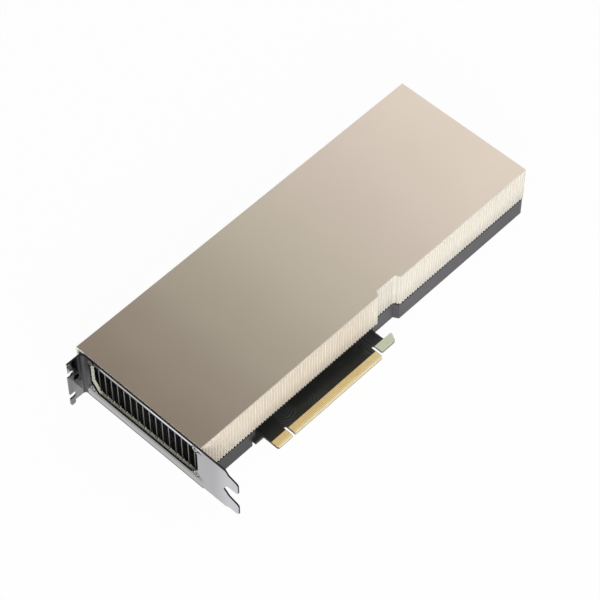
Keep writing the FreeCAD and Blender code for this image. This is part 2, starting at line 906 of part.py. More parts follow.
# ---- backplate and fasteners
def make_backplate():
    """A plate whose rim bears on the board, with a shallow recess over the soldered side."""
    body = new_piece("backplate")
    rim = size("plate_rim")
    recess = size("plate_recess")
    neck = size("hook_neck") - 1

    def plate_outline(inset):
        clear = wall + size("plate_clear") + inset
        edge = base_south + clear
        bay_floor = base_south + size("latch_deep") + clear
        shift = clear * half_turn
        tab_edge = bay_floor - wall
        return [
            (front + clear, edge),
            (size("foot_start") - inset, edge),
            (size("foot_start") - inset, tab_edge),
            (neck - inset, tab_edge),
            (neck - inset, bay_floor),
            (latch_end - slope + shift, bay_floor),
            (latch_end + shift, edge),
            (base_far - clear, edge),
            (base_far - clear, base_north - clear),
            (front + clear, base_north - clear),
        ]

    pad(body, "plate", "XY", bottom, under_board - bottom, lambda sketch: outline(
        sketch, plate_outline(as_size(0))))
    pocket(body, "recess", "XY", under_board - recess, recess + 1, lambda sketch: outline(
        sketch, plate_outline(rim)))


def draw_hexagons(sketch, across):
    """A hexagon round every heat sink screw."""
    flat = across / 2
    point = flat * 1.1547
    nose = flat * 0.57735
    for x, y in sink_screws:
        outline(sketch, [
            (x + point, y), (x + nose, y + flat), (x - nose, y + flat),
            (x - point, y), (x - nose, y - flat), (x + nose, y - flat),
        ])


def make_sink_fasteners():
    """Four low bolts pass up through the board into hexagonal standoffs under the spreader."""
    screws = new_piece("sink_screws")
    thick = size("sink_head_thick")

    def draw_heads(sketch):
        draw_hexagons(sketch, size("sink_head_across"))

    def draw_shanks(sketch):
        for x, y in sink_screws:
            circle(sketch, x, y, size("shank"))

    pad(screws, "heads", "XY", under_board - thick, thick, draw_heads)
    pad(screws, "shanks", "XY", under_board, size("sink_screw_reach") - under_board, draw_shanks)

    standoffs = new_piece("sink_standoffs")
    pad(standoffs, "posts", "XY", 0, size("sink_under"), lambda sketch: draw_hexagons(
        sketch, size("standoff_across")))

    def draw_threads(sketch):
        for x, y in sink_screws:
            circle(sketch, x, y, size("shank") + 0.1)

    pocket(standoffs, "threads", "XY", -1, size("sink_screw_reach") + 1.2, draw_threads)
    make_blocks("back_pad", under_board - size("plate_recess"), size("plate_recess"), [
        (package_x, package_y, size("pad_side"), size("pad_side")),
    ])


def make_bracket_screws():
    """Countersunk screws, flush with the bracket's face."""
    body = new_piece("bracket_screws")
    cone = size("head_cone")

    def draw_shanks(sketch):
        for y, z in vent_screws:
            circle(sketch, y, z, size("shank"))

    pad(body, "shanks", "YZ", cone, size("grille_back") - cone, draw_shanks)
    add_cones(body, "Additive", "head")


def finish():
    """Checks every object and writes one STEP file for each piece."""
    doc.recompute()
    for item in doc.Objects:
        if "Invalid" in item.State or "Error" in item.State:
            raise RuntimeError(f"{item.Name} did not build: {item.State}")
    os.makedirs("parts", exist_ok=True)
    for label, body in pieces.items():
        shape = body.Shape
        if shape.isNull() or not shape.isValid() or not shape.Solids:
            raise RuntimeError(f"{label} is not a valid solid")
        shape.exportStep(f"parts/{label}.step")
        print(f"{label}: {len(shape.Solids)} solids, {shape.Volume:.0f} mm3")


make_shroud()
make_base_frame()
make_board()
make_contacts("contacts_top", as_size(0))
make_contacts("contacts_under", under_board - size("contact_thick"))
make_package()
make_power_circuit()
make_heat_sink()
make_vent_grille()
make_bracket()
make_socket()
make_backplate()
make_sink_fasteners()
make_bracket_screws()
finish()
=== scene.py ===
# Passive accelerator card: camera, light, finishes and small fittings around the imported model.
import math

import bmesh
import bpy
import numpy as np
from mathutils import Matrix, Vector


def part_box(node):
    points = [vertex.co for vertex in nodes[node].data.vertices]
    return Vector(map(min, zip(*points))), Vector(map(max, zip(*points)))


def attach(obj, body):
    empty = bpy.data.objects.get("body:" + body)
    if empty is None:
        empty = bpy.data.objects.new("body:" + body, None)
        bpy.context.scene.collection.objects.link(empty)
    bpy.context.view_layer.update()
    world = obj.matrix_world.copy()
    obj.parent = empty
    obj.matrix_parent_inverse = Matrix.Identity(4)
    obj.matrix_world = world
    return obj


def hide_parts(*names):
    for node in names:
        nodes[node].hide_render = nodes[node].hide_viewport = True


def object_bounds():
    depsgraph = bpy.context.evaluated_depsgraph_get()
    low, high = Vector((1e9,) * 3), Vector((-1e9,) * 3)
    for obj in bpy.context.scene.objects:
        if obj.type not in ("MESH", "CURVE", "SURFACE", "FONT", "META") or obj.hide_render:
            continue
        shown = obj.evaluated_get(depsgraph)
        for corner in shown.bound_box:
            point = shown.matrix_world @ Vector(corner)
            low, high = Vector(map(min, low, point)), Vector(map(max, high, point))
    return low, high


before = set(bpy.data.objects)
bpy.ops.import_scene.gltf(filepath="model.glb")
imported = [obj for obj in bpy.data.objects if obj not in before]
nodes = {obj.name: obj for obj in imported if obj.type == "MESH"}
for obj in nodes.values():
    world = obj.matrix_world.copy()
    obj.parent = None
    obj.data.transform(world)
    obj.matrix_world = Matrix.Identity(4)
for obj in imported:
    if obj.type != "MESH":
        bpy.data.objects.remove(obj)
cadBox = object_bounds()
scene = bpy.context.scene
scene.view_settings.view_transform = "Standard"
print("frame loaded:", len(nodes), "nodes")

# The row's origin lies under the middle of the card; these bring back the card's own zero lines.
mm = 0.001
sheetThick = 1.0                       # the bracket's sheet, in millimetres
boardLow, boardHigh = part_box("board")
contactEdgeY = boardLow.y              # free edge of the contacts
boardTopZ = boardHigh.z                # component side
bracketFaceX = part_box("vent_grille")[0].x - sheetThick * mm

mixFirst, mixSecond, mixResult = 6, 7, 2     # a Mix node's sockets for colours
noiseLow, noiseHigh = 0.3, 0.7               # most of a noise's values lie between these


def cardPoint(x, y, z):
    # a place in the card's own millimetres, as metres in the row's frame
    return Vector((bracketFaceX + x * mm, contactEdgeY + y * mm, boardTopZ + z * mm))


class Finish:
    # one material: a shader and the nodes that feed it
    def __init__(self, name):
        self.material = bpy.data.materials.new(name)
        self.material.use_nodes = True
        self.tree = self.material.node_tree
        self.shader = self.tree.nodes["Principled BSDF"]
        self.place = self.add("ShaderNodeTexCoord").outputs["Object"]
        self.bumps = None

    def add(self, kind, **settings):
        node = self.tree.nodes.new(kind)
        for key, value in settings.items():
            setattr(node, key, value)
        return node

    def join(self, start, end):
        self.tree.links.new(start, end)

    def put(self, socket, value):
        # links a node's output to a socket, or sets a plain value on it
        if isinstance(value, bpy.types.NodeSocket):
            self.join(value, socket)
        elif hasattr(value, "__len__") and len(value) == 3 and socket.type == "RGBA":
            socket.default_value = (*value, 1)
        else:
            socket.default_value = value

    def plain(self, **values):
        # the shader's own sockets, each with an underscore for every blank in its name
        for name, value in values.items():
            self.put(self.shader.inputs[name.replace("_", " ")], value)

    def stretched(self, x, y, z):
        mapping = self.add("ShaderNodeMapping")
        mapping.inputs["Scale"].default_value = (x, y, z)
        self.join(self.place, mapping.inputs["Vector"])
        return mapping.outputs["Vector"]

    def noise(self, size, detail=3.0, rough=0.55, where=None):
        # noise whose features are about size metres across
        node = self.add("ShaderNodeTexNoise")
        self.join(where or self.place, node.inputs["Vector"])
        node.inputs["Scale"].default_value = 1 / size
        node.inputs["Detail"].default_value = detail
        node.inputs["Roughness"].default_value = rough
        return node.outputs["Fac"]

    def math(self, operation, first, second=None):
        node = self.add("ShaderNodeMath", operation=operation)
        self.put(node.inputs[0], first)
        if second is not None:
            self.put(node.inputs[1], second)
        return node.outputs[0]

    def product(self, first, *others):
        for other in others:
            first = self.math("MULTIPLY", first, other)
        return first

    def larger(self, first, second):
        return self.math("MAXIMUM", first, second)

    def opposite(self, share):
        return self.math("SUBTRACT", 1.0, share)

    def span(self, value, low, high, start=0.0, end=1.0, smooth=False):
        # carries low..high of a value to start..end, held at both ends
        node = self.add("ShaderNodeMapRange")
        if smooth:
            node.interpolation_type = "SMOOTHSTEP"
        for name, number in (("Value", value), ("From Min", low), ("From Max", high),
                             ("To Min", start), ("To Max", end)):
            self.put(node.inputs[name], number)
        return node.outputs["Result"]

    def between(self, share, start, end):
        # start where the share is 0, end where it is 1
        return self.span(share, 0, 1, start, end)

    def vary(self, noise, start=0.0, end=1.0):
        # carries a noise's usual values to start..end
        return self.span(noise, noiseLow, noiseHigh, start, end)

    def blend(self, amount, first, second, mode="MIX"):
        node = self.add("ShaderNodeMix", data_type="RGBA", blend_type=mode)
        self.put(node.inputs["Factor"], amount)
        self.put(node.inputs[mixFirst], first)
        self.put(node.inputs[mixSecond], second)
        return node.outputs[mixResult]

    def times(self, colour, factor):
        # a colour multiplied by a number or by another colour
        return self.blend(1.0, colour, factor, "MULTIPLY")

    def bump(self, height, strength, distance):
        node = self.add("ShaderNodeBump")
        node.inputs["Strength"].default_value = strength
        node.inputs["Distance"].default_value = distance
        self.join(height, node.inputs["Height"])
        if self.bumps:
            self.join(self.bumps, node.inputs["Normal"])
        self.bumps = node.outputs["Normal"]
        self.join(self.bumps, self.shader.inputs["Normal"])

    def axis(self, letter):
        # a coordinate of the piece's own space
        split = self.add("ShaderNodeSeparateXYZ")
        self.join(self.place, split.inputs[0])
        return split.outputs[letter]

    def facing(self, letter):
        # how far the surface faces along an axis, from 0 to 1
        split = self.add("ShaderNodeSeparateXYZ")
        self.join(self.add("ShaderNodeNewGeometry").outputs["True Normal"], split.inputs[0])
        return self.math("ABSOLUTE", split.outputs[letter])

    def run(self, letter, start, stop, low=0.0, high=1.0):
        # goes smoothly from low to high between two places in card millimetres
        index = "XYZ".index(letter)
        ends = [cardPoint(*[number if i == index else 0 for i in range(3)])[index]
                for number in (start, stop)]
        return self.span(self.axis(letter), ends[0], ends[1], low, high, smooth=True)

    def band(self, letter, start, stop, soft=0.05):
        # 1 between two places in card millimetres, 0 outside
        return self.product(self.run(letter, start - soft, start + soft),
                            self.run(letter, stop - soft, stop + soft, 1.0, 0.0))


def dress(finish, *pieces):
    # gives a finish to CAD nodes, by name, or to pieces made here
    for piece in pieces:
        if isinstance(piece, str):
            piece = nodes[piece]
        piece.data.materials.clear()
        piece.data.materials.append(finish.material)


def srgb(red, green, blue):
    # a colour as it looks on a screen, 0 to 255, made linear
    return tuple(
        value / 12.92 if value <= 0.04045 else ((value + 0.055) / 1.055) ** 2.4
        for value in (red / 255, green / 255, blue / 255)
    )


def shaded(colour, share):
    return tuple(part * share for part in colour)


# Camera: angles in degrees, distance and clip in metres, lens and sensor in millimetres.
view = {
    "azimuth": -46.54, "elevation": 53.20, "roll": 0.08,
    "target": (130, 55, 10),           # card millimetres
    "distance": 1.394, "lens": 146.33, "sensor": 36, "clip": (0.05, 50),
    "shiftX": -0.0191, "shiftY": -0.01055,
}


def makeCamera():
    azimuth, elevation, roll = (math.radians(view[k]) for k in ("azimuth", "elevation", "roll"))
    back = Vector((math.sin(azimuth) * math.cos(elevation),
                   -math.cos(azimuth) * math.cos(elevation), math.sin(elevation)))
    right = Vector((math.cos(azimuth), math.sin(azimuth), 0))
    up = back.cross(right)
    right, up = (right * math.cos(roll) + up * math.sin(roll),
                 up * math.cos(roll) - right * math.sin(roll))
    data = bpy.data.cameras.new("camera")
    data.sensor_width, data.lens = view["sensor"], view["lens"]
    data.shift_x, data.shift_y = view["shiftX"], view["shiftY"]
    data.clip_start, data.clip_end = view["clip"]
    camera = bpy.data.objects.new("camera", data)
    turn = Matrix((right, up, back)).transposed().to_4x4()
    place = cardPoint(*view["target"]) + back * view["distance"]
    camera.matrix_world = Matrix.Translation(place) @ turn
    scene.collection.objects.link(camera)
    scene.camera = camera


makeCamera()
print("camera placed")

# Floor, surround and lamps, in metres.
studio = {
    "floorSize": 12.0, "floorDrop": 0.0002, "floorColour": 0.86, "floorGrain": 0.004,
    "grainReach": 0.01, "floorRoughness": 0.9, "floorSheen": 0.1,
    "paper": 0.965,                    # how much of the floor is plain white where it is seen
    "surround": 0.185, "surroundTint": (1.0, 0.97, 0.94),
    "lamps": [
        # name, place, aim, width, height, brightness beside white: metres from the card's middle
        ("roofSheen", (1.62, 0.60, 1.2), (1.62, 0.60, 0), 1.84, 2.4, 1.0),
        ("frontFill", (-0.95, -1.55, 0.85), (0, 0, 0), 1.4, 1.2, 6.0),
        ("westPanel", (-1.5, 1.7, 1.3), (0, 0, 0), 2.4, 2.2, 0.6),
        ("eastPanel", (1.7, -1.5, 1.3), (0, 0, 0), 2.4, 2.2, 0.6),
        ("southPanel", (-1.7, -1.7, 1.3), (0, 0, 0), 2.6, 2.2, 0.6),
        ("topPanel", (-0.55, -0.5, 2.2), (-0.55, -0.5, 0), 1.4, 1.6, 0.5),
    ],
    "unmirrored": ("frontFill",),      # lamps that no surface mirrors
}


def makeFloor():
    half = studio["floorSize"] / 2
    floorZ = cadBox[0][2] - studio["floorDrop"]
    mesh = bpy.data.meshes.new("floor")
    corners = [(-half, -half), (half, -half), (half, half), (-half, half)]
    mesh.from_pydata([(x, y, floorZ) for x, y in corners], [], [(0, 1, 2, 3)])
    floor = bpy.data.objects.new("floor", mesh)
    scene.collection.objects.link(floor)
    paper = Finish("floorPaper")
    reach = studio["grainReach"]
    grain = paper.vary(paper.noise(studio["floorGrain"], 2), -reach, reach)
    shade = paper.math("ADD", grain, studio["floorColour"])
    paper.plain(Base_Color=shade, Roughness=studio["floorRoughness"],
                Specular_IOR_Level=studio["floorSheen"])
    glow = paper.add("ShaderNodeEmission")
    glow.inputs["Color"].default_value = (1, 1, 1, 1)
    seen = paper.add("ShaderNodeLightPath")
    straight = paper.larger(seen.outputs["Is Camera Ray"],
                            paper.larger(seen.outputs["Is Glossy Ray"],
                                         seen.outputs["Is Transmission Ray"]))
    mix = paper.add("ShaderNodeMixShader")
    paper.join(paper.product(straight, studio["paper"]), mix.inputs[0])
    paper.join(paper.shader.outputs[0], mix.inputs[1])
    paper.join(glow.outputs[0], mix.inputs[2])
    # seen from below the floor is open, so that the underside shows
    below = paper.product(seen.outputs["Is Camera Ray"],
                          paper.add("ShaderNodeNewGeometry").outputs["Backfacing"])
    opened = paper.add("ShaderNodeMixShader")
    paper.join(below, opened.inputs[0])
    paper.join(mix.outputs[0], opened.inputs[1])
    paper.join(paper.add("ShaderNodeBsdfTransparent").outputs[0], opened.inputs[2])
    paper.join(opened.outputs[0], paper.tree.nodes["Material Output"].inputs[0])
    mesh.materials.append(paper.material)


def makeSurround():
    # plain white where it is seen, dim and warm where it lights the card
    world = bpy.data.worlds.new("surround")
    scene.world = world
    world.use_nodes = True
    tree = world.node_tree
    sky = tree.nodes["Background"]
    paths = tree.nodes.new("ShaderNodeLightPath")
    tint = tree.nodes.new("ShaderNodeMix")
    tint.data_type = "RGBA"
    tint.inputs[mixFirst].default_value = (*studio["surroundTint"], 1)
    tint.inputs[mixSecond].default_value = (1, 1, 1, 1)
    tree.links.new(paths.outputs["Is Camera Ray"], tint.inputs["Factor"])
    tree.links.new(tint.outputs[mixResult], sky.inputs["Color"])
    level = tree.nodes.new("ShaderNodeMapRange")
    level.inputs["To Min"].default_value = studio["surround"]
    level.inputs["To Max"].default_value = 1.0
    tree.links.new(paths.outputs["Is Camera Ray"], level.inputs["Value"])
    tree.links.new(level.outputs["Result"], sky.inputs["Strength"])


def makeLamps():
    for name, place, aim, width, height, brightness in studio["lamps"]:
        data = bpy.data.lights.new(name, "AREA")
        data.shape = "RECTANGLE"
        data.size, data.size_y = width, height
        data.energy = brightness * math.pi * width * height
        lamp = bpy.data.objects.new(name, data)
        lamp.visible_glossy = name not in studio["unmirrored"]
        direction = Vector(place) - Vector(aim)
        lamp.matrix_world = (Matrix.Translation(place)
                             @ direction.to_track_quat("Z", "Y").to_matrix().to_4x4())
        scene.collection.objects.link(lamp)


makeFloor()
makeSurround()
makeLamps()
print("studio lit")

# Shroud: satin champagne metal, its ribbed sides paler and more matt than its roof. In every
# dictionary below, a name that ends in X, Y or Z gives one place along that axis, or the two
# between which something changes, in card millimetres.
shroudLook = {
    "roof": [(0, (0.645, 0.535, 0.43)), (35, (0.70, 0.60, 0.485)), (70, (0.77, 0.685, 0.55)),
             (125, (0.825, 0.74, 0.60)), (180, (0.83, 0.72, 0.615))],     # card mm, colour
    "sideNear": (0.70, 0.64, 0.555), "sideFar": (0.785, 0.75, 0.675), "sideX": (122, 150),
    "grooveNear": (0.81, 0.75, 0.655), "grooveFar": (0.89, 0.86, 0.79), "grooveX": (110, 165),
    "floorPaintedLight": (1.22, 1.10),       # grooves' bottoms beside their walls, near and far
    "floorY": (14.0, 14.3), "recessX": (140.9, 159.8),
    "footShare": 0.86, "footZ": (9, 21), "nearShare": 1.07, "nearX": (2, 30),
    "roofMetal": 0.86, "sideMetal": 0.30, "roofRoughness": 0.34, "sideRoughness": 0.55,
    "grain": 0.00025, "smear": 0.03, "patch": 0.09,
}


def dressShroud():
    own = shroudLook
    look = Finish("shroudSatinGold")
    lengthwise = look.facing("X")
    side = look.span(look.larger(look.facing("Y"), lengthwise), 0.4, 0.8)
    # the roof's colour runs from dark near the bracket to pale far off: a painted sheen, for what
    # the satin roof mirrors
    stops = own["roof"]
    roof = stops[0][1]
    for (start, _), (stop, colour) in zip(stops, stops[1:]):
        roof = look.blend(look.run("X", start, stop), roof, colour)
    # the grooves' walls are painted paler than the flanks, and paler far off than near, as painted
    # light against the shade in the grooves
    groove = look.blend(look.run("X", *own["grooveX"]), own["grooveNear"], own["grooveFar"])
    flank = look.blend(look.run("X", *own["sideX"]), own["sideNear"], own["sideFar"])
    ribbed = look.blend(look.span(lengthwise, 0.5, 0.9), flank, groove)
    # the grooves' bottoms are painted paler, as painted light against the shade that falls in them
    floors = look.product(look.run("Y", *own["floorY"]),
                          look.opposite(look.band("X", *own["recessX"])))
    pale = look.run("X", *own["grooveX"], *own["floorPaintedLight"])
    ribbed = look.times(ribbed, look.between(floors, 1.0, pale))
    # the ribs are painted darker towards their feet, as the dark board's reflection, and lighter
    # near the bracket, as painted light against its shadow
    dullZincAndPaintedShading = look.product(look.run("Z", *own["footZ"], own["footShare"], 1.0),
                        look.run("X", *own["nearX"], own["nearShare"], 1.0))
    ribbed = look.times(ribbed, dullZincAndPaintedShading)
    drift = look.span(look.noise(own["patch"], 2), 0.35, 0.65, 0.985, 1.0)
    colour = look.times(look.blend(side, roof, ribbed), drift)
    grain = look.noise(own["grain"], 3, 0.6)
    satin = look.between(side, own["roofRoughness"], own["sideRoughness"])
    waver = look.math("ADD", look.vary(grain, -0.02, 0.02),
                      look.vary(look.noise(own["smear"], 4), -0.012, 0.012))
    metal = look.between(side, own["roofMetal"], own["sideMetal"])
    look.plain(Base_Color=colour, Metallic=metal, Roughness=look.math("ADD", satin, waver))
    look.bump(grain, 0.1, 0.00003)
    dress(look, "shroud")


dressShroud()

# Base frame and backplate: dark powder coat.
coatLook = {
    # gap: the near-black of a painted shadow
    "base": srgb(70, 68, 71), "gap": srgb(14, 13, 12), "plate": srgb(40, 40, 42),
    "roughness": 0.5, "speck": 0.0005, "patch": 0.02,
    "nearShare": 0.38, "nearX": (35, 115), "cloud": 0.035,
    "gapZ": (7.95, 8.05), "gapSheen": 0.1, "sheen": 0.5,
}


def coat(name, colour, roughness):
    # a powder coat: its colour, gloss and surface all vary
    look = Finish(name)
    grain = look.noise(coatLook["speck"], 3, 0.6)
    look.tint = look.times(colour, look.vary(look.noise(coatLook["patch"], 3), 0.9, 1.1))
    look.plain(Base_Color=look.tint,
               Roughness=look.vary(grain, roughness - 0.05, roughness + 0.05))
    look.bump(grain, 0.25, 0.00006)
    return look


def dressBase():
    own = coatLook
    look = coat("baseDarkCoat", own["base"], own["roughness"])
    # darker towards the bracket and uneven along its length
    uneven = look.product(look.run("X", *own["nearX"], own["nearShare"], 1.0),
                          look.span(look.noise(own["cloud"], 2), 0.35, 0.65, 0.88, 1.14))
    look.tint = look.times(look.tint, uneven)
    # the set-back rim under the shroud's ribs is painted near-black as the shadow in its deep gap,
    # with its sheen taken down
    gap = look.run("Z", *own["gapZ"])
    look.plain(Base_Color=look.blend(gap, look.tint, own["gap"]),
               Specular_IOR_Level=look.between(gap, own["sheen"], own["gapSheen"]))
    dress(look, "base_frame")
    dress(coat("backplateCoat", own["plate"], own["roughness"]), "backplate")


dressBase()

# Vent grille: pale tunnel walls, grey bars with dark sides, with painted light and shade.
grilleLook = {
    "tunnel": srgb(192, 192, 176), "bar": srgb(122, 120, 120), "barSide": srgb(22, 21, 20),
    "floorShare": 0.8, "floorZ": (5.4, 5.6), "northY": (99.9, 100.1),
    "barShares": (0.35, 1.15), "barZ": (8, 30), "roughness": 0.45,
}


def dressGrille():
    own = grilleLook
    look = coat("grilleCoat", own["tunnel"], own["roughness"])
    # the tunnel's floor, north wall and slanted corners are pale, all else in it is dark; the pale
    # coat is painted brighter than the casting's own, as painted light against the vent's shade
    upright = look.facing("Z")
    front = look.span(look.facing("X"), 0.5, 0.9)
    slanted = look.span(look.math("MINIMUM", look.facing("Y"), upright), 0.05, 0.2)
    low = look.product(look.run("Z", *own["floorZ"], 1.0, 0.0), look.opposite(front))
    pale = look.larger(slanted, look.larger(look.run("Y", *own["northY"]), low))
    walls = look.times(look.tint, look.span(upright, 0.8, 1.0, 1.0, own["floorShare"]))
    # the bars' fronts are lit at the top and painted with shade that deepens downwards
    barPaintedShade = look.times(own["bar"], look.run("Z", *own["barZ"], *own["barShares"]))
    bar = look.blend(front, own["barSide"], barPaintedShade)
    look.plain(Base_Color=look.blend(pale, bar, walls))
    dress(look, "vent_grille")


dressGrille()

# Bracket screws: sizes in millimetres, except the scratches, in metres.
screwLook = {
    "nodeHead": 2.4, "ring": 2.62, "ringSoft": 0.1,     # radii of the CAD heads and the shadow ring
    "head": 1.9, "edge": 0.12, "cone": 0.95, "shank": 1.15, "gap": 0.04,
    "tipLong": 0.25, "tipShare": 0.8, "tipShort": 0.05,
    "recessReach": 1.05, "recessDepth": 0.75, "slot": 0.3, "slotSoft": 0.03, "reachSoft": 0.04,
    "around": 72, "over": 44, "edgeSteps": 5,
    "bright": (0.52, 0.52, 0.53), "dullZincAndPaintedShading": (0.42, 0.42, 0.43), "recess": (0.05, 0.05, 0.05),
    "recessDepths": (0.15, 0.5), "roughness": (0.22, 0.34), "scratch": 0.0004,
}

# Bracket: bright plated sheet, its sheared edges painted near-black as dark reflections. Plain
# numbers such as tongues and the painted highlight multiply the colour; the strips lie under and
# over the window.
bracketLook = {
    "face": (0.40, 0.40, 0.42), "roughness": 0.13, "streak": 0.0006, "patch": 0.015,
    "tongues": 1.40, "tonguesY": (6, -9), "windowY": (13, 101), "windowSoft": 2.0,
    "stripPaintedShade": 0.58, "lowZ": (1.0, 5.0), "lowTopZ": (6, 8), "lowWholeY": (50, 60),
    "stripTint": (1.0, 1.0, 0.945), "tintZ": (8, 6),
    "paintedHighlight": 2.2, "paintedHighlightZ": (31.9, 33.8), "paintedHighlightSoft": 0.3,
    "paintedEdgeShade": 0.10, "paintedEdgeShadeZ": (30, 32.35), "paintedEdgeShadeSoft": 0.15, "rimZ": (33.6, 33.9),
    "ear": (0.235, 0.235, 0.245), "earX": (0.4, -2.4),
    "earHigh": 0.34, "highX": (-8.5, -7.0), "highZ": (5, 22),
    "margin": 0.75, "marginX": (-7.5, -9.3), "earTop": 6.0, "topZ": (20, 28), "bend": 0.25,
    "edge": (0.055, 0.055, 0.058), "edgeRoughness": 0.5, "edgeBehind": 0.02,
}


def screwRings(look):
    # 1 within the ring's radius of the nearest of the four screws, so a ring shows round its head
    low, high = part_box("bracket_screws")
    head = screwLook["nodeHead"] * mm
    reach = []
    for letter, start, stop in (("Y", low.y, high.y), ("Z", low.z, high.z)):
        place = look.axis(letter)
        first = look.math("ABSOLUTE", look.math("SUBTRACT", place, start + head))
        second = look.math("ABSOLUTE", look.math("SUBTRACT", place, stop - head))
        reach.append(look.math("MINIMUM", first, second))
    far = look.math("SQRT", look.math("ADD", look.product(reach[0], reach[0]),
                                      look.product(reach[1], reach[1])))
    ring, soft = screwLook["ring"], screwLook["ringSoft"]
    return look.span(far, (ring - soft) * mm, (ring + soft) * mm, 1.0, 0.0)


def bracketFaceColour(look, patch):
    own = bracketLook
    # the tongues are brighter; the strip under the window has painted shade that deepens towards
    # the window
    bright = look.run("Y", *own["tonguesY"], 1.0, own["tongues"])
    beside = look.band("Y", *own["windowY"], own["windowSoft"])
    upTo = look.larger(look.run("Z", *own["lowTopZ"], 1.0, 0.0), look.run("Y", *own["lowWholeY"]))
    strip = look.between(look.product(beside, look.run("Z", *own["lowZ"]), upTo),
                         1.0, own["stripPaintedShade"])
    # the strip over the window has painted shade along both its edges and a painted highlight along
    # its middle
    paintedHighlight = look.product(beside, look.band("Z", *own["paintedHighlightZ"], own["paintedHighlightSoft"]))
    paintedEdgeShade = look.larger(look.product(beside, look.band("Z", *own["paintedEdgeShadeZ"], own["paintedEdgeShadeSoft"])),
                         look.run("Z", *own["rimZ"]))
    # a shadow ring lies round each countersunk head
    dark = look.between(look.larger(paintedEdgeShade, screwRings(look)), 1.0, own["paintedEdgeShade"])
    worn = look.product(look.vary(patch, 0.98, 1.02), bright, strip,
                        look.between(paintedHighlight, 1.0, own["paintedHighlight"]), dark)
    warm = look.product(beside, look.run("Z", *own["tintZ"]))
    return look.times(look.times(own["face"], worn),
                      look.blend(warm, (1, 1, 1), own["stripTint"]))


def bracketEarColour(look):
    own = bracketLook
    # the folded ear is painted darker, as the dark reflection it shows, most of all in its upper
    # part
    high = look.product(look.run("Z", *own["highZ"]), look.run("X", *own["highX"]))
    ear = look.times(own["ear"], look.between(high, 1.0, own["earHigh"]))
    # its outer margin has a painted bright reflection at the top and is painted darker below
    margin = look.run("X", *own["marginX"])
    top = look.product(margin, look.run("Z", *own["topZ"]))
    return look.times(ear, look.product(look.between(top, 1.0, own["earTop"]),
                                        look.between(margin, 1.0, own["margin"])))


def dressBracket():
    own = bracketLook
    look = Finish("bracketPlatedSteel")
    streak = look.noise(own["streak"], 4, 0.6, look.stretched(1, 0.06, 1))
    patch = look.noise(own["patch"], 3)
    facingX, facingY = look.facing("X"), look.facing("Y")
    # sheared edges face neither way, or face along Y behind the bracket's front; they are painted
    # near-black, as the dark reflection they show
    behind = look.math("GREATER_THAN", look.axis("X"), bracketFaceX - own["edgeBehind"] * mm)
    cut = look.larger(look.math("LESS_THAN", look.larger(facingX, facingY), 0.6),
                      look.product(look.math("GREATER_THAN", facingY, 0.3), behind))
    # the bend between the face and the ear is painted dark, as the reflection in the bend
    bend = look.span(look.math("MINIMUM", facingX, facingY), 0.05, 0.25)
    colour = look.blend(look.run("X", *own["earX"]), bracketFaceColour(look, patch),
                        bracketEarColour(look))
    colour = look.times(colour, look.between(bend, 1.0, own["bend"]))
    colour = look.blend(cut, colour, own["edge"])
    rough = look.math("ADD", look.vary(streak, -0.02, 0.02),
                      look.between(cut, own["roughness"], own["edgeRoughness"]))
    look.plain(Base_Color=colour, Metallic=1.0, Roughness=rough)
    look.bump(streak, 0.05, 0.00002)
    dress(look, "bracket")


dressBracket()
print("metal dressed")


